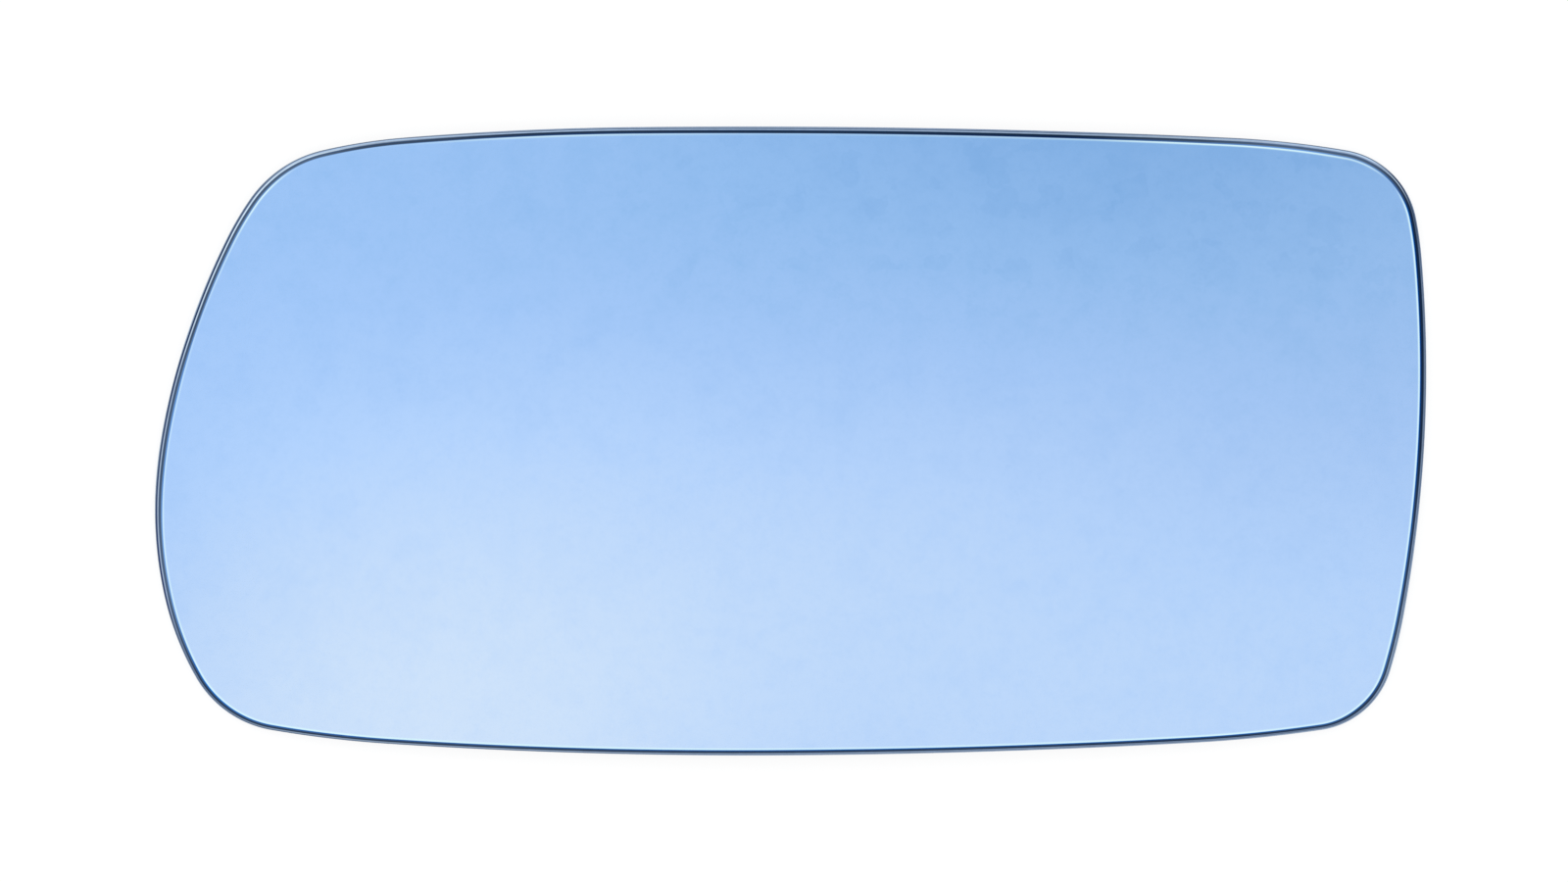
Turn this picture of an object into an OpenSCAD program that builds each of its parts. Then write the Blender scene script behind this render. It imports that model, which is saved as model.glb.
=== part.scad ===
// Convex mirror glass of a car door mirror: one bare sheet of bent glass with a ground edge.
// It lies face up on the lowest corners of its rim. Sizes are in millimetres, angles in degrees.
// X runs across the glass, Y up the glass as it is fitted, and Z out of the mirror face.
// The origin is on the plane that the rim rests on, below the middle of the outline.

/* [Glass] */
// Width across the outermost points
glass_w = 180; // [160:1:200]
// Height across the highest and the lowest point
glass_h = 89; // [80:1:100]
// Thickness of the sheet
glass_t = 2; // [1.5:0.1:3]
// Radius of the convex mirror face
face_r = 1400; // [1000:10:2500]
// How far the top of the dome lies above the middle of the outline
crown_y = 4.5; // [0:0.5:8]
// Angle at which the rounded ground edge meets each face
arris_angle = 18; // [10:1:30]

/* [Right side] */
// How far the outermost point lies above the middle
right_y = 10; // [6:0.5:12]
// Radius of the side
right_r = 190; // [160:5:220]

/* [Top side] */
// How far the highest point lies to the left of the middle
top_x = 6.5; // [2:0.5:10]
// Radius through the highest point and to its right
top_r = 1500; // [1200:10:1800]
// Turn from the highest point to the start of the left-hand arc
top_turn = 0.6; // [0.1:0.1:1.5]
// Radius of the left-hand arc
top_left_r = 465; // [400:5:600]

/* [Left side] */
// How far the outermost point lies below the middle
left_y = 9.7; // [7:0.1:12]
// Radius through the outermost point and below it
left_r = 56; // [48:1:63]
// Turn from the outermost point to the start of the shoulder arc above it
shoulder_turn = 4; // [2:0.1:6]
// Radius of the shoulder arc
shoulder_r = 64; // [55:1:80]
// Turn from the outermost point to the start of the flank arc above the shoulder
flank_turn = 10.7; // [8:0.1:14]
// Radius of the flank arc
flank_r = 104; // [85:1:125]

/* [Bottom side] */
// How far the lowest point lies to the left of the middle
bottom_x = 6; // [2:0.5:10]
// Radius through the lowest point and to its left
bottom_r = 790; // [650:10:950]
// Turn from the lowest point to the start of the right-hand arc
bottom_turn = 0.4; // [0.1:0.1:1]
// Radius of the right-hand arc
bottom_right_r = 1200; // [1000:10:1500]

/* [Upper right corner] */
// Radius of the corner
ur_r = 12.1; // [10:0.1:14]
// Radius that eases the right side into the corner
ur_side_r = 50; // [40:1:60]
// Turn of that easing arc
ur_side_turn = 6.3; // [4:0.1:8]
// Radius that eases the corner into the top
ur_top_r = 135; // [110:1:165]
// Turn of that easing arc
ur_top_turn = 7; // [5:0.1:9]

/* [Upper left corner] */
// Radius of the corner
ul_r = 17.2; // [14:0.1:20]
// Radius that eases the top into the corner
ul_top_r = 81; // [65:1:100]
// Turn of that easing arc
ul_top_turn = 8.3; // [6:0.1:10]
// Radius that eases the corner into the flank
ul_side_r = 44; // [36:1:55]
// Turn of that easing arc
ul_side_turn = 8.1; // [6:0.1:10]

/* [Lower left corner] */
// Radius of the corner
ll_r = 15.2; // [12:0.1:18]
// Radius that eases the left side into the corner
ll_side_r = 41; // [33:1:49]
// Turn of that easing arc
ll_side_turn = 17; // [13:0.5:21]
// Radius that eases the corner into the bottom
ll_bottom_r = 160; // [130:5:190]
// Turn of that easing arc
ll_bottom_turn = 6; // [4.8:0.1:7.2]

/* [Lower right corner] */
// Radius of the corner
lr_r = 12; // [10:0.1:14]
// Radius that eases the bottom into the corner
lr_bottom_r = 195; // [160:5:230]
// Turn of that easing arc
lr_bottom_turn = 5.2; // [4:0.1:6.5]
// Radius that eases the corner into the right side
lr_side_r = 72; // [60:1:85]
// Turn of that easing arc
lr_side_turn = 6.4; // [5:0.1:8]

/* [Hidden] */
mirror_blue = [0.65, 0.78, 0.95];

// Widest gap between the outline's chords and its true arcs
chord_gap = 0.01;
// Steps of the ground edge's arc from the middle of the sheet to either face
edge_steps = 5;
// Height of the blank's two peaks above and below the sheet
peak_gap = 6;
// How far the bent sheet reaches past the outline before it is cut
spare = 10;
// Facets of the sheet's section circles and of its turn about the dome's axis
section_fn = 1440;
turn_fn = 120;

// Top of the dome in plan, and radius of the surface midway between the two faces
crown = [0, crown_y];
mid_r = face_r - glass_t / 2;
// Half the turn of the ground edge's section, and its radius
meet_angle = 90 - arris_angle;
edge_r = glass_t / 2 / sin(meet_angle);

// Unit vector at an angle counter-clockwise from +X, and the angle of a vector
function unit(a) = [cos(a), sin(a)];
function angle_of(v) = atan2(v.y, v.x);

// Turn from angle a to angle b, counter-clockwise
function turn_between(a, b) = b - a - 360 * floor((b - a) / 360);

// An arc of the outline is [centre, radius, outward angle at its start, outward angle at its end].
function arc_start(arc) = arc[2];
function arc_end(arc) = arc[3];

// Centre of an arc of radius r that touches the arc of radius side_r around c at angle a
function tangent_centre(c, side_r, a, r) = c + (side_r - r) * unit(a);

// Left-hand meeting point, seen from a towards b, of the circles of radius ra about a and rb about b
function meeting(a, ra, b, rb) =
    let (
        gap = norm(b - a),
        way = (b - a) / gap,
        along = (ra * ra - rb * rb + gap * gap) / (2 * gap)
    )
    a + along * way + sqrt(ra * ra - along * along) * [-way.y, way.x];

// Three arcs that round the corner between the arcs around a and b with radii ra and rb:
// an easing arc of radius r1, the corner's own arc of radius r, and an easing arc of radius r2
function corner(a, ra, b, rb, r1, turn1, r, r2, turn2) =
    let (
        from_a = [ra - r1, 0] + (r1 - r) * unit(turn1),
        from_b = [rb - r2, 0] + (r2 - r) * unit(-turn2),
        c = meeting(a, norm(from_a), b, norm(from_b)),
        start = angle_of(c - a) - angle_of(from_a),
        end = angle_of(c - b) - angle_of(from_b)
    )
    [
        [tangent_centre(a, ra, start, r1), r1, start, start + turn1],
        [c, r, start + turn1, end - turn2],
        [tangent_centre(b, rb, end, r2), r2, end - turn2, end]
    ];

// Centres of the side arcs, and the outward angles at which one hands over to the next
right_c = [glass_w / 2 - right_r, right_y];
top_c = [-top_x, glass_h / 2 - top_r];
top_end = 90 + top_turn;
top_left_c = tangent_centre(top_c, top_r, top_end, top_left_r);
left_c = [left_r - glass_w / 2, -left_y];
shoulder_end = 180 - shoulder_turn;
shoulder_c = tangent_centre(left_c, left_r, shoulder_end, shoulder_r);
flank_end = 180 - flank_turn;
flank_c = tangent_centre(shoulder_c, shoulder_r, flank_end, flank_r);
bottom_c = [-bottom_x, bottom_r - glass_h / 2];
bottom_end = 270 + bottom_turn;
bottom_right_c = tangent_centre(bottom_c, bottom_r, bottom_end, bottom_right_r);

ur = corner(right_c, right_r, top_c, top_r, ur_side_r, ur_side_turn, ur_r, ur_top_r, ur_top_turn);
ul = corner(
    top_left_c, top_left_r, flank_c, flank_r, ul_top_r, ul_top_turn, ul_r, ul_side_r, ul_side_turn
);
ll = corner(
    left_c, left_r, bottom_c, bottom_r, ll_side_r, ll_side_turn, ll_r, ll_bottom_r, ll_bottom_turn
);
lr = corner(
    bottom_right_c, bottom_right_r, right_c, right_r,
    lr_bottom_r, lr_bottom_turn, lr_r, lr_side_r, lr_side_turn
);

// The whole outline, counter-clockwise from the lower end of the right side
outline_arcs = [
    [right_c, right_r, arc_end(lr[2]), arc_start(ur[0])],
    each ur,
    [top_c, top_r, arc_end(ur[2]), top_end],
    [top_left_c, top_left_r, top_end, arc_start(ul[0])],
    each ul,
    [flank_c, flank_r, arc_end(ul[2]), flank_end],
    [shoulder_c, shoulder_r, flank_end, shoulder_end],
    [left_c, left_r, shoulder_end, arc_start(ll[0])],
    each ll,
    [bottom_c, bottom_r, arc_end(ll[2]), bottom_end],
    [bottom_right_c, bottom_right_r, bottom_end, arc_start(lr[0])],
    each lr
];

// Points along an arc without its last one, each as [position, outward angle]
function arc_points(arc) =
    let (
        turn = turn_between(arc_start(arc), arc_end(arc)),
        steps = ceil(turn / (2 * acos(1 - chord_gap / arc[1])))
    )
    [
        for (i = [0 : steps - 1])
            let (a = arc_start(arc) + turn * i / steps)
            [arc[0] + arc[1] * unit(a), a]
    ];

outline = [for (arc = outline_arcs) each arc_points(arc)];

// Section of the ground edge at an angle from its middle: [distance in from the outline, height]
function edge_point(a) = [edge_r - edge_r * cos(a), edge_r * sin(a)];

// Point of a section at one point of the outline, measured from the centre of the bend.
// The section's height is taken square to the sheet.
function on_sheet(point, section) =
    let (
        flat = point[0] - crown - section.x * unit(point[1]),
        rise = sqrt(mid_r * mid_r - flat * flat)
    )
    (1 + section.y / mid_r) * [flat.x, flat.y, rise];

// The rim rests on the lowest points of the arris between the back face and the ground edge.
rest_height = min([for (p = outline) on_sheet(p, edge_point(-meet_angle)).z]);
bend_centre = [crown.x, crown.y, -rest_height];

// The bent sheet before it is cut: a band between two spheres around one centre
module bent_sheet() {
    reach = max([for (p = outline) norm(p[0] - crown)]) + spare;
    low = sqrt(pow(face_r - glass_t, 2) - reach * reach) - glass_t;
    translate(bend_centre)
        rotate_extrude($fn = turn_fn)
            intersection() {
                difference() {
                    circle(r = face_r, $fn = section_fn);
                    circle(r = face_r - glass_t, $fn = section_fn);
                }
                translate([0, low])
                    square([reach, face_r + glass_t - low]);
            }
}

// Closed body with the ground edge as its wall. The last step of the edge's arc runs on in a
// straight line through each face, and a peak closes the body well clear of the sheet.
module ground_blank() {
    step = meet_angle / edge_steps;
    last = edge_point(meet_angle - step);
    past = 2 * edge_point(meet_angle) - last;
    sections = [
        [past.x, -past.y],
        for (k = [1 - edge_steps : edge_steps - 1]) edge_point(k * step),
        past
    ];
    n = len(outline);
    rings = len(sections);
    points = [
        for (s = sections) for (p = outline) bend_centre + on_sheet(p, s),
        bend_centre + [0, 0, face_r - glass_t - peak_gap],
        bend_centre + [0, 0, face_r + peak_gap]
    ];
    walls = [
        for (k = [0 : rings - 2]) for (i = [0 : n - 1])
            let (a = k * n + i, b = k * n + (i + 1) % n)
            each [[a, b + n, b], [a, a + n, b + n]]
    ];
    below = [for (i = [0 : n - 1]) [i, (i + 1) % n, rings * n]];
    above = [
        for (i = [0 : n - 1])
            let (a = (rings - 1) * n)
            [a + (i + 1) % n, a + i, rings * n + 1]
    ];
    polyhedron(points, concat(walls, below, above), convexity = 4);
}

module mirror_glass() {
    color(mirror_blue)
        intersection() {
            bent_sheet();
            ground_blank();
        }
}

mirror_glass();
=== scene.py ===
"""Looks of a bare convex door mirror glass, lying face up and seen from straight above."""

import math

import bpy
import numpy as np
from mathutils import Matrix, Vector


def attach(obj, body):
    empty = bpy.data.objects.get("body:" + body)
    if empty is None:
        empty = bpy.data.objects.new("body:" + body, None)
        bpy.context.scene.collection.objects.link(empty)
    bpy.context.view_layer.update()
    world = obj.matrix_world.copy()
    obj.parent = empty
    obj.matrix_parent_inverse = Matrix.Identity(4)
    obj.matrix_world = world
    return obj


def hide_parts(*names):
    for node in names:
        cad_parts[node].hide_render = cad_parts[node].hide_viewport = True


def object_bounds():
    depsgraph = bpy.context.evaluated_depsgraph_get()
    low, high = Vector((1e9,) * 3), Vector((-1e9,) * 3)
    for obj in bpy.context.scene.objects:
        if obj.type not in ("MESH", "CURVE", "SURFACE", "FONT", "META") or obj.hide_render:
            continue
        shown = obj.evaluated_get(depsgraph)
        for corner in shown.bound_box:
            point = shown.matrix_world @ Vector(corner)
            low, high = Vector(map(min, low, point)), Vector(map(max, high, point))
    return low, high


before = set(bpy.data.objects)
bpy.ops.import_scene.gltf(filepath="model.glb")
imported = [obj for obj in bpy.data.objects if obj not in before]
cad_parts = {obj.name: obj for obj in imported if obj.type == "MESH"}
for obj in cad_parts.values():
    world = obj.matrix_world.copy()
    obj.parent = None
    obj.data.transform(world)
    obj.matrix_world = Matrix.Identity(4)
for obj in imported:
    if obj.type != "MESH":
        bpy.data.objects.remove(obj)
cad_lo, cad_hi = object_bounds()

MM = 0.001

# The glass, in millimetres and degrees, with the same sizes as the solid
GLASS_W = 180
GLASS_H = 89
GLASS_T = 2
FACE_R = 1400
CROWN = np.array([0, 4.5])
ARRIS_ANGLE = 18
MID_R = FACE_R - GLASS_T / 2
MEET_ANGLE = 90 - ARRIS_ANGLE
EDGE_R = GLASS_T / 2 / math.sin(math.radians(MEET_ANGLE))
ARRIS_INSET = EDGE_R * (1 - math.cos(math.radians(MEET_ANGLE)))
CHORD_GAP = 0.002


def unit(a):
    """Unit vector at an angle in degrees, counter-clockwise from +X."""
    return np.array([math.cos(math.radians(a)), math.sin(math.radians(a))])


def angle_of(v):
    return math.degrees(math.atan2(v[1], v[0]))


def tangent_centre(c, side_r, a, r):
    return c + (side_r - r) * unit(a)


def meeting(a, ra, b, rb):
    """Left-hand meeting point, seen from a towards b, of the circles around a and b."""
    gap = np.linalg.norm(b - a)
    way = (b - a) / gap
    along = (ra * ra - rb * rb + gap * gap) / (2 * gap)
    across = math.sqrt(ra * ra - along * along)
    return a + along * way + across * np.array([-way[1], way[0]])


def corner(side_a, side_b, r1, turn1, r, r2, turn2):
    """Easing arc, corner arc and easing arc between two side arcs, given as (centre, radius)."""
    (a, ra), (b, rb) = side_a, side_b
    from_a = np.array([ra - r1, 0]) + (r1 - r) * unit(turn1)
    from_b = np.array([rb - r2, 0]) + (r2 - r) * unit(-turn2)
    c = meeting(a, np.linalg.norm(from_a), b, np.linalg.norm(from_b))
    start = angle_of(c - a) - angle_of(from_a)
    end = angle_of(c - b) - angle_of(from_b)
    return [
        [tangent_centre(a, ra, start, r1), r1, start, start + turn1],
        [c, r, start + turn1, end - turn2],
        [tangent_centre(b, rb, end, r2), r2, end - turn2, end],
    ]


def outline_arcs():
    """The outline as tangent arcs [centre, radius, start, end], counter-clockwise."""
    right = (np.array([GLASS_W / 2 - 190, 10]), 190)
    top = (np.array([-6.5, GLASS_H / 2 - 1500]), 1500)
    top_end = 90.6
    top_left = (tangent_centre(*top, top_end, 465), 465)
    left = (np.array([56 - GLASS_W / 2, -9.7]), 56)
    shoulder_end = 176
    shoulder = (tangent_centre(*left, shoulder_end, 64), 64)
    flank_end = 169.3
    flank = (tangent_centre(*shoulder, flank_end, 104), 104)
    bottom = (np.array([-6, 790 - GLASS_H / 2]), 790)
    bottom_end = 270.4
    bottom_right = (tangent_centre(*bottom, bottom_end, 1200), 1200)
    ur = corner(right, top, 50, 6.3, 12.1, 135, 7)
    ul = corner(top_left, flank, 81, 8.3, 17.2, 44, 8.1)
    ll = corner(left, bottom, 41, 17, 15.2, 160, 6)
    lr = corner(bottom_right, right, 195, 5.2, 12, 72, 6.4)
    return [
        [*right, lr[2][3], ur[0][2]], *ur,
        [*top, ur[2][3], top_end], [*top_left, top_end, ul[0][2]], *ul,
        [*flank, ul[2][3], flank_end], [*shoulder, flank_end, shoulder_end],
        [*left, shoulder_end, ll[0][2]], *ll,
        [*bottom, ll[2][3], bottom_end], [*bottom_right, bottom_end, lr[0][2]], *lr,
    ]


def outline():
    """Points of the outline and the outward angle at each."""
    points, angles = [], []
    for centre, r, start, end in outline_arcs():
        turn = (end - start) % 360
        steps = math.ceil(turn / (2 * math.degrees(math.acos(1 - CHORD_GAP / r))))
        for i in range(steps):
            a = start + turn * i / steps
            points.append(centre + r * unit(a))
            angles.append(a)
    return np.array(points), np.array(angles)


def lifted(flat, height):
    """Points over a plan position, at a height square to the bent sheet, from the bend's centre."""
    rise = np.sqrt(MID_R ** 2 - (flat ** 2).sum(1))
    return np.c_[flat, rise] * (1 + height / MID_R)


# Rings across the pane, from the back's middle round the edge to the front's middle: degrees from ring to ring
# on the edge, and on the faces insets in mm and then shares of the way out. The mirror under its clear coat
# begins SILVER_GAP outside the bright line, and at least MARGIN_MIN inside the arris.
EDGE_STEP = 3
SILVER_GAP = 0.09
MARGIN_MIN = 0.03
FACE_INSETS = (1.45, 1.9, 3)
INNER_SHARES = (0.96, 0.9, 0.8, 0.68, 0.55, 0.42, 0.3, 0.18, 0.08)
# Rim inset of the two middle points, which no rim colour reaches
FAR_INSIDE = 99.0

# How the ground edge looks round the pane, with its highlights painted in. Each row begins with an angle from
# +X, on a circle that the outline is stretched to. Then come, in mm, how far in the edge's colours start, how
# wide the dark band is and how far in the bright line lies, and, from 0 to 1, how much painted light the crest
# catches, how bright the line's painted highlight is, how light the lip's painted highlight outside the crest
# is and how much painted light the whole band catches.
RIM_VALUES = ("rim_start", "rim_band", "rim_line", "rim_crest", "rim_glint", "rim_lip", "rim_lit")
RIM_FORM = (
    (-178, 0.01, 0.81, 1.21, 0.58, 0.42, 0.06, 0.71),
    (-156, -0.10, 0.86, 1.11, 0.53, 0.66, 0.00, 1.00),
    (-139, 0.06, 0.45, 0.92, 0.11, 0.97, 0.31, 0.18),
    (-129, -0.04, 0.49, 0.82, 0.35, 0.99, 0.38, 0.23),
    (-118, -0.02, 0.47, 0.80, 0.25, 0.97, 0.45, 0.20),
    (-85, 0.14, 0.40, 0.88, 0.08, 0.71, 0.58, 0.14),
    (-56, 0.15, 0.39, 0.87, 0.06, 0.93, 0.45, 0.11),
    (-48, 0.16, 0.39, 0.88, 0.07, 0.81, 0.32, 0.18),
    (-43, 0.11, 0.52, 1.02, 0.11, 1.00, 0.46, 0.15),
    (-36, 0.12, 0.55, 1.07, 0.31, 0.99, 0.50, 0.32),
    (-20, 0.14, 0.49, 1.02, 0.08, 0.80, 0.44, 0.18),
    (0, 0.03, 0.56, 1.02, 0.09, 0.84, 0.35, 0.03),
    (28, 0.05, 0.54, 1.01, 0.01, 0.93, 0.30, 0.00),
    (37, 0.07, 0.53, 1.05, 0.11, 0.91, 0.05, 0.01),
    (41, -0.10, 0.75, 1.05, 0.59, 0.00, 0.00, 0.28),
    (45, -0.10, 0.94, 1.17, 0.34, 0.63, 1.00, 0.92),
    (50, -0.10, 0.85, 1.10, 0.36, 0.98, 0.83, 1.00),
    (58, -0.10, 0.79, 1.05, 0.55, 0.98, 0.52, 0.36),
    (66, 0.16, 0.58, 1.06, 0.06, 0.41, 0.76, 0.01),
    (90, 0.16, 0.67, 1.05, 0.00, 0.21, 0.66, 0.13),
    (112, 0.15, 0.55, 1.02, 0.06, 0.65, 0.94, 0.11),
    (124, -0.10, 0.88, 1.01, 0.32, 0.09, 0.88, 0.50),
    (130, -0.08, 0.91, 1.06, 0.85, 0.02, 0.79, 1.00),
    (136, -0.05, 0.93, 1.21, 1.00, 1.00, 0.26, 0.86),
    (147, -0.01, 0.85, 1.19, 1.00, 0.46, 0.00, 0.76),
    (158, 0.04, 0.81, 1.17, 0.83, 0.20, 0.00, 0.67),
    (170, -0.06, 0.84, 1.19, 0.58, 0.45, 0.00, 0.80),
)


def rim_form(points):
    """The values of RIM_FORM at each point of the outline."""
    turn = np.degrees(np.arctan2(points[:, 1] * GLASS_W / GLASS_H, points[:, 0]))
    table = np.array(RIM_FORM)
    whole = [360] + [0] * (table.shape[1] - 1)
    table = np.vstack([table[-1] - whole, table, table[0] + whole])
    k = np.searchsorted(table[:, 0], turn) - 1
    share = (turn - table[k, 0]) / (table[k + 1, 0] - table[k, 0])
    share = (share * share * (3 - 2 * share))[:, None]
    values = table[k, 1:] * (1 - share) + table[k + 1, 1:] * share
    return dict(zip(RIM_VALUES, values.T))


def store_values(mesh, name, values):
    store = mesh.attributes.new(name, "FLOAT", "POINT")
    store.data.foreach_set("value", values)


def glass_mesh():
    """The pane as one closed mesh, with its true normals and each point's rim values."""
    points, angles = outline()
    n = len(points)
    out = np.array([unit(a) for a in angles])
    form = rim_form(points)
    silver = np.maximum(form["rim_line"] - SILVER_GAP, ARRIS_INSET + MARGIN_MIN)[:, None]
    rings, parts, rising = [], [], []

    def face_ring(inset, share, side, part):
        flat = (points - CROWN - inset * out) * share
        p = lifted(flat, side * GLASS_T / 2)
        rings.append((p, side * p / np.linalg.norm(p, axis=1)[:, None]))
        parts.append(part)
        rising.append(side > 0)

    def edge_ring(a):
        flat = points - CROWN - EDGE_R * (1 - math.cos(a)) * out
        p = lifted(flat, EDGE_R * math.sin(a))
        radial = p / np.linalg.norm(p, axis=1)[:, None]
        tangent = np.c_[out, np.zeros(n)]
        tangent -= (tangent * radial).sum(1)[:, None] * radial
        tangent /= np.linalg.norm(tangent, axis=1)[:, None]
        rings.append((p, math.cos(a) * tangent + math.sin(a) * radial))
        parts.append("edge")
        rising.append(a >= 0)

    for share in reversed(INNER_SHARES):
        face_ring(FACE_INSETS[-1], share, -1, "back")
    for inset in reversed(FACE_INSETS):
        face_ring(inset, 1, -1, "back")
    face_ring(ARRIS_INSET, 1, -1, "back")
    for a in np.arange(-MEET_ANGLE, MEET_ANGLE + EDGE_STEP / 2, EDGE_STEP):
        edge_ring(math.radians(a))
    face_ring(ARRIS_INSET, 1, 1, "margin")
    face_ring(silver, 1, 1, "front")
    for inset in FACE_INSETS:
        face_ring(inset, 1, 1, "front")
    for share in INNER_SHARES:
        face_ring(FACE_INSETS[-1], share, 1, "front")

    # The two rings at each arris lie on each other and share their points
    first = [0]
    for k in range(1, len(rings)):
        same = {parts[k - 1], parts[k]} in ({"back", "edge"}, {"edge", "margin"})
        first.append(first[-1] + (0 if same else n))
    count = first[-1] + n
    verts = np.zeros((count + 2, 3))
    inset_at = np.full(count + 2, FAR_INSIDE)
    for k, (p, _) in enumerate(rings):
        verts[first[k]:first[k] + n] = p
        inset = ((points - CROWN - p[:, :2]) * out).sum(1)
        inset_at[first[k]:first[k] + n] = inset if rising[k] else -np.abs(inset)
    verts[count] = [0, 0, FACE_R - GLASS_T]
    verts[count + 1] = [0, 0, FACE_R]

    faces, slots, normals = [], [], []
    i, j = np.arange(n), (np.arange(n) + 1) % n
    slot_of = {"front": 0, "edge": 1, "back": 2, "margin": 3}
    for k in range(len(rings) - 1):
        if first[k] == first[k + 1]:
            continue
        a, b = first[k], first[k + 1]
        na, nb = rings[k][1], rings[k + 1][1]
        faces += np.c_[a + i, a + j, b + j, b + i].tolist()
        normals += np.stack([na[i], na[j], nb[j], nb[i]], 1).reshape(-1, 3).tolist()
        slots += [slot_of[parts[k]]] * n
    for ring, peak, up in ((0, count, -1), (len(rings) - 1, count + 1, 1)):
        a, na = first[ring], rings[ring][1]
        peak_normal = np.tile([0, 0, up], (n, 1))
        pair = (i, j) if up > 0 else (j, i)
        faces += np.c_[a + pair[0], a + pair[1], np.full(n, peak)].tolist()
        normals += np.stack([na[pair[0]], na[pair[1]], peak_normal], 1).reshape(-1, 3).tolist()
        slots += [slot_of[parts[ring]]] * n

    verts[:, :2] += CROWN
    verts *= MM
    # The solid's box is the reference: the finer outline may pass its chords by a few micrometres
    lo, hi = verts.min(0), verts.max(0)
    box_lo, box_hi = np.array(cad_lo), np.array(cad_hi)
    verts = box_lo + (verts - lo) * (box_hi - box_lo) / (hi - lo)

    mesh = bpy.data.meshes.new("glass_pane")
    mesh.from_pydata(verts.tolist(), [], faces)
    mesh.polygons.foreach_set("material_index", slots)
    mesh.polygons.foreach_set("use_smooth", [True] * len(faces))
    mesh.normals_split_custom_set(normals)
    store_values(mesh, "rim_inset", inset_at)
    for name, values in form.items():
        store_values(mesh, name, np.r_[np.tile(values, count // n), 0, 0])
    mesh.update()
    return mesh


def srgb(r, g, b):
    """Linear colour of an sRGB colour given in 0 to 255."""
    def channel(v):
        v /= 255
        return v / 12.92 if v <= 0.04045 else ((v + 0.055) / 1.055) ** 2.4
    return (channel(r), channel(g), channel(b), 1)


class Nodes:
    """Short calls for building a node tree."""

    def __init__(self, tree):
        self.tree = tree
        tree.nodes.clear()

    def add(self, kind, inputs=None, **settings):
        node = self.tree.nodes.new(kind)
        for key, value in settings.items():
            setattr(node, key, value)
        for key, value in (inputs or {}).items():
            self.put(node.inputs[key], value)
        return node

    def put(self, socket, value):
        if isinstance(value, bpy.types.NodeSocket):
            self.tree.links.new(value, socket)
        else:
            socket.default_value = value

    def math(self, operation, a, b=0.0, c=0.0):
        return self.add("ShaderNodeMath", {0: a, 1: b, 2: c}, operation=operation).outputs[0]

    def vector(self, operation, a, b):
        return self.add("ShaderNodeVectorMath", {0: a, 1: b}, operation=operation).outputs[0]

    def attribute(self, name):
        return self.add("ShaderNodeAttribute", attribute_name=name).outputs["Fac"]

    def mix(self, factor, a, b):
        node = self.add("ShaderNodeMix", data_type="RGBA")
        self.put(node.inputs[0], factor)
        self.put(node.inputs[6], a)
        self.put(node.inputs[7], b)
        return node.outputs[2]

    def ramp(self, factor, stops):
        node = self.add("ShaderNodeValToRGB", {"Fac": factor})
        node.color_ramp.interpolation = "LINEAR"
        elements = node.color_ramp.elements
        while len(elements) > 1:
            elements.remove(elements[-1])
        for k, (position, colour) in enumerate(stops):
            stop = elements[0] if k == 0 else elements.new(position)
            stop.position = position
            stop.color = colour
        return node.outputs[0]

    def span(self, value, lo, hi, out_lo=0.0, out_hi=1.0, kind="LINEAR"):
        node = self.add("ShaderNodeMapRange", interpolation_type=kind)
        for k, v in enumerate((value, lo, hi, out_lo, out_hi)):
            self.put(node.inputs[k], v)
        return node.outputs[0]

    def noise(self, vector, scale, detail, rough):
        node = self.add("ShaderNodeTexNoise")
        self.put(node.inputs["Vector"], vector)
        self.put(node.inputs["Scale"], scale)
        self.put(node.inputs["Detail"], detail)
        self.put(node.inputs["Roughness"], rough)
        return node.outputs[0]


def new_material(name):
    material = bpy.data.materials.new(name)
    material.use_nodes = True
    nodes = Nodes(material.node_tree)
    output = nodes.add("ShaderNodeOutputMaterial")
    shader = nodes.add("ShaderNodeBsdfPrincipled")
    nodes.put(output.inputs["Surface"], shader.outputs[0])
    return material, nodes, shader


# Colours across the front half of the rim, from the outline (0) past the dark band's inner side (0.5): where
# the band has no painted light, and where it is painted lit
RIM_PLAIN = (
    (0.00, srgb(114, 135, 166)),
    (0.14, srgb(18, 47, 79)),
    (0.28, srgb(0, 40, 81)),
    (0.40, srgb(0, 32, 59)),
    (0.50, srgb(18, 34, 57)),
    (0.60, srgb(13, 39, 87)),
    (0.70, srgb(0, 47, 105)),
    (0.82, srgb(0, 139, 235)),
)
RIM_LIT = (
    (0.00, srgb(205, 226, 245)),
    (0.12, srgb(20, 48, 82)),
    (0.25, srgb(0, 32, 112)),
    (0.38, srgb(65, 93, 132)),
    (0.50, srgb(85, 99, 115)),
    (0.62, srgb(116, 166, 231)),
    (0.74, srgb(48, 155, 255)),
    (0.86, srgb(28, 161, 240)),
)
# The painted highlights on the lip and on the crest in it: colour, and place and half width on the same scale
LIP = srgb(186, 212, 243)
LIP_SHARE = 0.200
LIP_WIDTH = 0.114
CREST = srgb(219, 241, 255)
CREST_SHARE = 0.290
CREST_WIDTH = 0.090
# The bright line, a painted highlight for the arris's reflection: colour, and how it fades outward and inward,
# in mm. The face's colour takes over just outside it, over these places from the line.
LINE = srgb(218, 249, 255)
LINE_RISE = 0.134
LINE_FALL = 0.286
INNER_START = -0.100
INNER_END = -0.050
# Colours across the back half, which lies against the paint
RIM_BELOW = (
    (0.00, srgb(110, 127, 151)),
    (0.45, srgb(88, 104, 128)),
    (0.85, srgb(58, 70, 90)),
    (1.00, srgb(44, 52, 66)),
)


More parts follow.
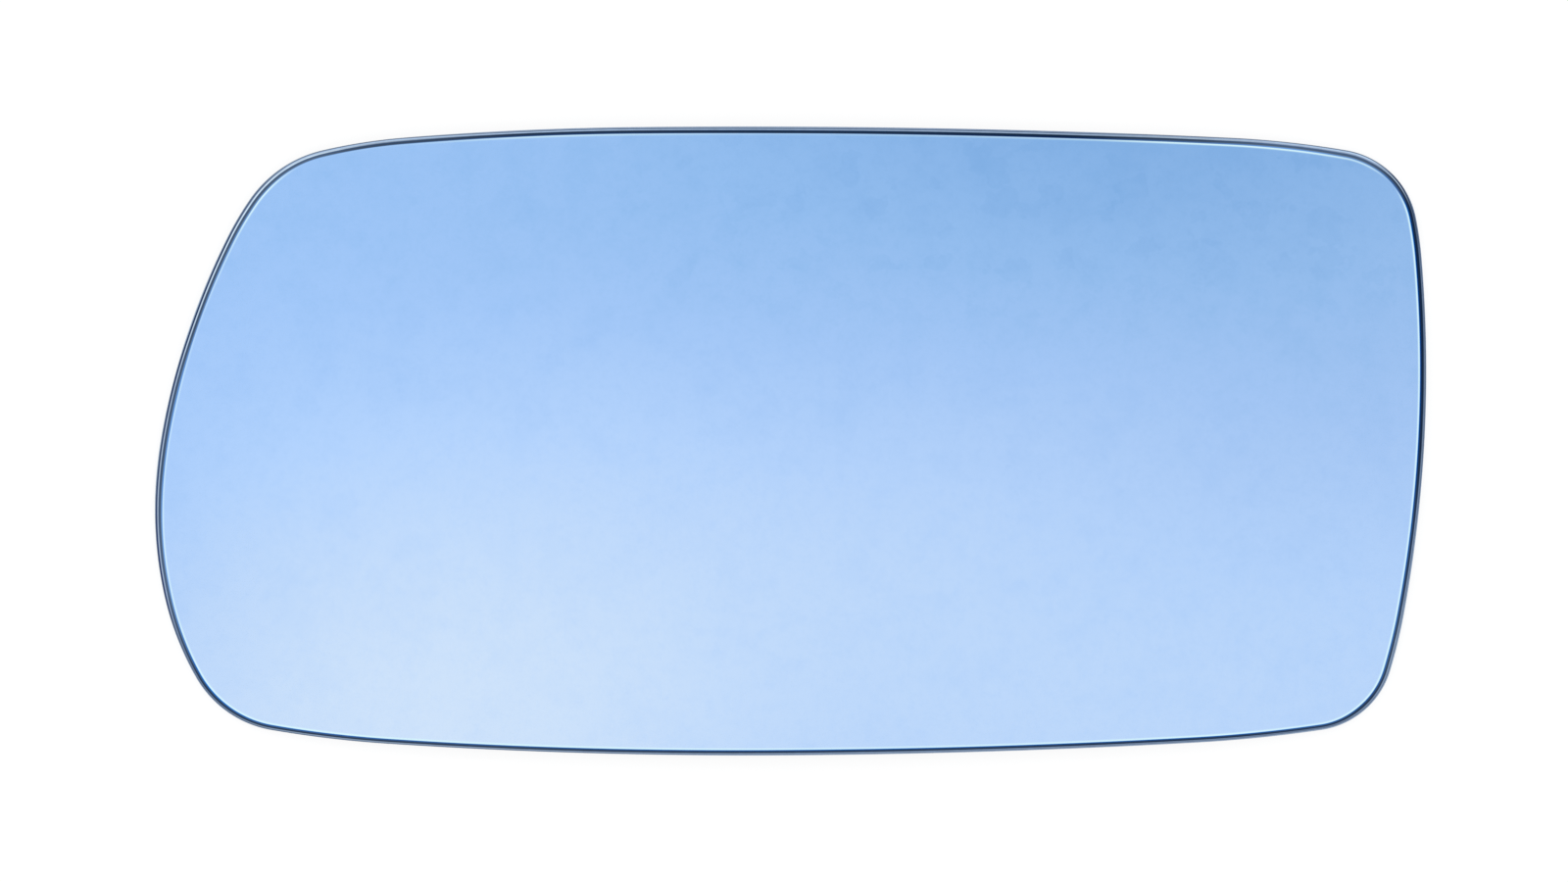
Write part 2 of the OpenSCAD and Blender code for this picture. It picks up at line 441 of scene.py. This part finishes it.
def bump_at(nodes, value, middle, width):
    """1 at the middle, falling smoothly to 0 a width away."""
    away = nodes.math("ABSOLUTE", nodes.math("SUBTRACT", value, middle))
    return nodes.span(nodes.math("DIVIDE", away, width), 0.0, 1.0, 1.0, 0.0, kind="SMOOTHSTEP")


def rim_colour(nodes, face):
    """Colour of the rim, with its painted highlights and painted lit band, over a face colour, which it passes
    into inside the bright line.
    """
    inset = nodes.attribute("rim_inset")
    band = nodes.attribute("rim_band")
    line = nodes.attribute("rim_line")
    begun = nodes.math("SUBTRACT", inset, nodes.attribute("rim_start"))
    share = nodes.math("MULTIPLY", nodes.math("DIVIDE", begun, band), 0.5)
    plain, lit = nodes.ramp(share, RIM_PLAIN), nodes.ramp(share, RIM_LIT)
    colour = nodes.mix(nodes.attribute("rim_lit"), plain, lit)
    lip = bump_at(nodes, share, LIP_SHARE, LIP_WIDTH)
    colour = nodes.mix(nodes.math("MULTIPLY", lip, nodes.attribute("rim_lip")), colour, LIP)
    crest = bump_at(nodes, share, CREST_SHARE, CREST_WIDTH)
    colour = nodes.mix(nodes.math("MULTIPLY", crest, nodes.attribute("rim_crest")), colour, CREST)
    past = nodes.math("SUBTRACT", inset, line)
    colour = nodes.mix(nodes.span(past, INNER_START, INNER_END, kind="SMOOTHSTEP"), colour, face)
    rise = nodes.span(past, -LINE_RISE, 0.0, kind="SMOOTHSTEP")
    fall = nodes.span(past, 0.0, LINE_FALL, 1.0, 0.0, kind="SMOOTHSTEP")
    glint = nodes.math("MULTIPLY", nodes.math("MULTIPLY", rise, fall), nodes.attribute("rim_glint"))
    return nodes.mix(glint, colour, LINE)


# Colours of the mirror from deep to pale: the silvering's blue, under a painted reflection
BLUES_AND_REFLECTION = (
    (0.0, srgb(130, 176, 228)),
    (0.2, srgb(146, 188, 237)),
    (0.4, srgb(162, 198, 245)),
    (0.6, srgb(178, 209, 250)),
    (0.8, srgb(194, 219, 251)),
    (1.0, srgb(210, 229, 251)),
)
# How pale the mirror is, on the scale of the colours above. It grows paler between two places along a slanting
# way, and
# evenly to the left. One soft patch makes it paler low on the left, and one makes it deeper at the upper right:
# (middle, radii, strength). Places are in metres. The slant and both patches are a painted reflection.
DEEP = 0.2485
PALER = 0.488
PALE_WAY = (-0.535, 0.845)
PALE_FROM = 0.0517
PALE_TO = -0.0284
PALER_LEFT = -0.521
PALE_PATCH = ((-0.0629, -0.0228), (0.0776, 0.0698), 0.338)
DEEP_PATCH = ((0.0759, 0.0441), (0.1184, 0.0860), -0.547)
# Mottling: (noise scale, detail, roughness) and (noise from, to, paleness from, to)
MOTTLES = (
    ((170.0, 2.0, 0.62), (0.28, 0.55, -0.038, 0.009)),
    ((620.0, 4.0, 0.85), (0.28, 0.55, -0.042, 0.010)),
)
# Blotches in the upper part, more of them to the right
BLOTCH_NOISE = (190.0, 3.0, 0.55)
BLOTCH_SIDES = (0.565, 0.580)
BLOTCH_UP = (0.010, 0.026)
BLOTCH_RIGHT = (-0.05, 0.02, 0.15, 1.0)
BLOTCH_DARK = -0.036
# The blue is purer to the left and duller to the right, except along the bottom
DRIFT_LEFT = (1.01, 1.022, 1.035, 1)
DRIFT_RIGHT = (1.01, 0.985, 0.978, 1)
DRIFT_NONE = (1, 1, 1, 1)
DRIFT_ACROSS = (-0.07, 0.08)
DRIFT_UP = (-0.026, 0.004)

GLASS_IOR = 1.52
COAT_SHINE = ((GLASS_IOR - 1) / (GLASS_IOR + 1)) ** 2


def patch(nodes, pale, x, y, middle, radii, strength):
    """A paleness with a soft round patch added, which fades out at its radii."""
    dx = nodes.math("DIVIDE", nodes.math("SUBTRACT", x, middle[0]), radii[0])
    dy = nodes.math("DIVIDE", nodes.math("SUBTRACT", y, middle[1]), radii[1])
    far = nodes.math("ADD", nodes.math("MULTIPLY", dx, dx), nodes.math("MULTIPLY", dy, dy))
    near = nodes.span(nodes.math("SQRT", far), 0.0, 1.0, 1.0, 0.0, kind="SMOOTHSTEP")
    return nodes.math("MULTIPLY_ADD", near, strength, pale)


def under_coat(nodes, colour):
    """The colour that shows as the given one through the clear coat's own reflection of white."""
    less = nodes.vector("SUBTRACT", colour, (COAT_SHINE,) * 3)
    base = nodes.vector("MAXIMUM", less, (0, 0, 0))
    return scaled(nodes, base, 1 / (1 - COAT_SHINE))


def scaled(nodes, colour, factor):
    node = nodes.add("ShaderNodeVectorMath", operation="SCALE")
    nodes.put(node.inputs[0], colour)
    nodes.put(node.inputs["Scale"], factor)
    return node.outputs[0]


def mirror_blue_and_reflection(nodes):
    """The silvering's blue with a painted reflection over it: pale low on the left, deep at the upper right,
    and faintly mottled.
    """
    place = nodes.add("ShaderNodeTexCoord").outputs["Object"]
    axes = nodes.add("ShaderNodeSeparateXYZ", {0: place})
    x, y = axes.outputs[0], axes.outputs[1]
    along = nodes.math("MULTIPLY_ADD", x, PALE_WAY[0], nodes.math("MULTIPLY", y, PALE_WAY[1]))
    risen = nodes.span(along, PALE_FROM, PALE_TO, kind="SMOOTHSTEP")
    pale = nodes.math("MULTIPLY_ADD", risen, PALER, DEEP)
    pale = nodes.math("MULTIPLY_ADD", x, PALER_LEFT, pale)
    pale = patch(nodes, pale, x, y, *PALE_PATCH)
    pale = patch(nodes, pale, x, y, *DEEP_PATCH)
    for noise, spread in MOTTLES:
        pale = nodes.math("ADD", pale, nodes.span(nodes.noise(place, *noise), *spread))
    blotch = nodes.span(nodes.noise(place, *BLOTCH_NOISE), *BLOTCH_SIDES)
    blotch = nodes.math("MULTIPLY", blotch, nodes.span(y, *BLOTCH_UP, kind="SMOOTHSTEP"))
    blotch = nodes.math("MULTIPLY", blotch, nodes.span(x, *BLOTCH_RIGHT, kind="SMOOTHSTEP"))
    pale = nodes.math("MULTIPLY_ADD", blotch, BLOTCH_DARK, pale)
    drift = nodes.mix(nodes.span(x, *DRIFT_ACROSS), DRIFT_LEFT, DRIFT_RIGHT)
    drift = nodes.mix(nodes.span(y, *DRIFT_UP, kind="SMOOTHSTEP"), DRIFT_NONE, drift)
    return nodes.vector("MULTIPLY", nodes.ramp(pale, BLUES_AND_REFLECTION), drift), place


# Wiping marks and dust too fine to see singly: a noise, and the roughness that it runs between
HAZE_NOISE = (60.0, 4.0, 0.65)
NOISE_MIDDLE = (0.3, 0.7)
MIRROR_ROUGH = (0.045, 0.075)
MARGIN_ROUGH = (0.06, 0.10)


def hazed(nodes, place, rough):
    return nodes.span(nodes.noise(place, *HAZE_NOISE), *NOISE_MIDDLE, *rough)


def mirror_face():
    """Blue silvering behind clear glass, with a painted reflection across it and the rim's painted highlights
    at its edge.
    """
    material, nodes, shader = new_material("blue_mirror")
    blue_and_reflection, place = mirror_blue_and_reflection(nodes)
    nodes.put(shader.inputs["Base Color"], under_coat(nodes, rim_colour(nodes, blue_and_reflection)))
    nodes.put(shader.inputs["Metallic"], 1.0)
    nodes.put(shader.inputs["Roughness"], hazed(nodes, place, MIRROR_ROUGH))
    nodes.put(shader.inputs["Coat Weight"], 1.0)
    nodes.put(shader.inputs["Coat Roughness"], 0.0)
    nodes.put(shader.inputs["Coat IOR"], GLASS_IOR)
    return material


def mirror_margin():
    """The strip along the edge, with the edge's dark paint painted in as its reflection from inside the glass,
    and the rim's painted highlights.
    """
    material, nodes, shader = new_material("mirror_margin")
    blue_and_reflection, place = mirror_blue_and_reflection(nodes)
    nodes.put(shader.inputs["Base Color"], rim_colour(nodes, blue_and_reflection))
    nodes.put(shader.inputs["Metallic"], 1.0)
    nodes.put(shader.inputs["Roughness"], hazed(nodes, place, MARGIN_ROUGH))
    return material


# The ground edge: its grain, how far that darkens and lightens the colour, its roughness and its faint relief
EDGE_NOISE = (900.0, 3.0, 0.6)
EDGE_SHADES = (0.25, 0.75, 0.92, 1.08)
EDGE_ROUGH = (0.32, 0.45)
EDGE_SHINE = 0.05
EDGE_RELIEF = {"Strength": 0.12, "Distance": 0.00002}
# The front half's colours take over within this far of the outline, in mm
FRONT_FADE = 0.02


def ground_edge():
    """Ground and half polished glass, with a fine grain and the rim's painted highlights on its front half."""
    material, nodes, shader = new_material("ground_glass_edge")
    blue_and_reflection, place = mirror_blue_and_reflection(nodes)
    inset = nodes.attribute("rim_inset")
    below = nodes.ramp(nodes.math("MULTIPLY", inset, -1 / ARRIS_INSET), RIM_BELOW)
    front = nodes.span(inset, -FRONT_FADE, 0.0)
    colour = nodes.mix(front, below, rim_colour(nodes, blue_and_reflection))
    grain = nodes.noise(place, *EDGE_NOISE)
    shade = nodes.span(grain, *EDGE_SHADES)
    nodes.put(shader.inputs["Base Color"], scaled(nodes, colour, shade))
    nodes.put(shader.inputs["Roughness"], nodes.span(grain, *NOISE_MIDDLE, *EDGE_ROUGH))
    nodes.put(shader.inputs["IOR"], GLASS_IOR)
    nodes.put(shader.inputs["Specular IOR Level"], EDGE_SHINE)
    bump = nodes.add("ShaderNodeBump", {**EDGE_RELIEF, "Height": grain})
    nodes.put(shader.inputs["Normal"], bump.outputs[0])
    return material


# The back's paint: a broad cloud in its colour and roughness, and a fine orange peel
PAINT_NOISE = (35.0, 4.0, 0.6)
PAINT_SHADES = ((0.35, srgb(70, 74, 80)), (0.65, srgb(82, 86, 92)))
PAINT_ROUGH = (0.42, 0.55)
PEEL_NOISE = (700.0, 2.0, 0.5)
PEEL_RELIEF = {"Strength": 0.25, "Distance": 0.00005}


def back_paint():
    """Protective paint over the silvering: dark grey, poured, with a faint orange peel."""
    material, nodes, shader = new_material("back_paint")
    place = nodes.add("ShaderNodeTexCoord").outputs["Object"]
    cloud = nodes.noise(place, *PAINT_NOISE)
    nodes.put(shader.inputs["Base Color"], nodes.ramp(cloud, PAINT_SHADES))
    nodes.put(shader.inputs["Roughness"], nodes.span(cloud, *NOISE_MIDDLE, *PAINT_ROUGH))
    peel = nodes.noise(place, *PEEL_NOISE)
    bump = nodes.add("ShaderNodeBump", {**PEEL_RELIEF, "Height": peel})
    nodes.put(shader.inputs["Normal"], bump.outputs[0])
    return material


pane = bpy.data.objects.new("glass_pane", glass_mesh())
bpy.context.scene.collection.objects.link(pane)
for maker in (mirror_face, ground_edge, back_paint, mirror_margin):
    pane.data.materials.append(maker())
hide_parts("mirror_glass")
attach(pane, "root")

# Floor: a light table, so that it is white all round and keeps a faint shadow
FLOOR_SIZE = 6.0
FLOOR_WHITE = 0.22
FLOOR_GLOW = 0.82


def floor_material():
    material = bpy.data.materials.new("floor_white")
    material.use_nodes = True
    material.cycles.emission_sampling = "NONE"
    nodes = Nodes(material.node_tree)
    output = nodes.add("ShaderNodeOutputMaterial")
    paint = nodes.add("ShaderNodeBsdfDiffuse", {"Color": (FLOOR_WHITE,) * 3 + (1,)})
    glow = nodes.add("ShaderNodeEmission", {"Color": (1, 1, 1, 1), "Strength": FLOOR_GLOW})
    both = nodes.add("ShaderNodeAddShader", {0: paint.outputs[0], 1: glow.outputs[0]})
    nodes.put(output.inputs["Surface"], both.outputs[0])
    return material


bpy.ops.mesh.primitive_plane_add(size=FLOOR_SIZE, location=(0, 0, cad_lo[2]))
floor = bpy.context.object
floor.name = "floor"
floor.data.materials.append(floor_material())


# World: white to the camera. A mirror sees it white overhead, where it fills the view from above, and a little
# greyer lower down, as a white room is. The spans are heights from 0, level, to 1, straight up.
WORLD_LIGHT = 0.95
ROOM_GREY = 0.72
CEILING = (0.55, 0.97)
HORIZON = 0.90
HORIZON_FADE = (0.0, 0.35)
world = bpy.data.worlds.new("studio")
world.use_nodes = True
bpy.context.scene.world = world
nodes = Nodes(world.node_tree)
world_out = nodes.add("ShaderNodeOutputWorld")
path = nodes.add("ShaderNodeLightPath").outputs
mirrored = nodes.math("MAXIMUM", path["Is Glossy Ray"], path["Is Transmission Ray"])
way = nodes.add("ShaderNodeTexCoord").outputs["Generated"]
height = nodes.add("ShaderNodeSeparateXYZ", {0: way}).outputs[2]
room = nodes.span(height, *CEILING, ROOM_GREY, 1.0, kind="SMOOTHSTEP")
glow = nodes.span(height, *HORIZON_FADE, HORIZON - ROOM_GREY, 0.0, kind="SMOOTHSTEP")
room = nodes.math("ADD", room, glow)
strength = nodes.span(mirrored, 0.0, 1.0, WORLD_LIGHT, room)
strength = nodes.math("MAXIMUM", strength, path["Is Camera Ray"])
background = nodes.add("ShaderNodeBackground", {"Color": (1, 1, 1, 1), "Strength": strength})
nodes.put(world_out.inputs["Surface"], background.outputs[0])

# Two large soft lamps at the sides: (name, place, size, power). The mirror doesn't show them, because the discs
# would clip to white in it.
LAMPS = (
    ("lamp_left", (-1.1, 0.9, 1.2), 1.0, 3.2),
    ("lamp_right", (1.3, -0.5, 1.1), 1.0, 1.6),
)
for name, place, size, power in LAMPS:
    lamp = bpy.data.lights.new(name, "AREA")
    lamp.shape = "DISK"
    lamp.size = size
    lamp.energy = power
    holder = bpy.data.objects.new(name, lamp)
    holder.location = place
    aim = -holder.location
    holder.rotation_euler = aim.to_track_quat("-Z", "Y").to_euler()
    holder.visible_glossy = False
    bpy.context.scene.collection.objects.link(holder)

# Camera: straight above, with the photograph's framing, which is this wide at the height of the rim
FRAME_WIDTH = 0.22197
CAMERA_HEIGHT = 3.0
CAMERA_X = -0.00093
CAMERA_Y = 0.0
RIM_HEIGHT = 0.0013
SENSOR = 36.0
camera_data = bpy.data.cameras.new("camera")
camera_data.sensor_fit = "HORIZONTAL"
camera_data.sensor_width = SENSOR
camera_data.lens = SENSOR * (CAMERA_HEIGHT - RIM_HEIGHT) / FRAME_WIDTH
camera = bpy.data.objects.new("camera", camera_data)
camera.location = (CAMERA_X, CAMERA_Y, CAMERA_HEIGHT)
bpy.context.scene.collection.objects.link(camera)
bpy.context.scene.camera = camera

bpy.context.scene.view_settings.view_transform = "Standard"
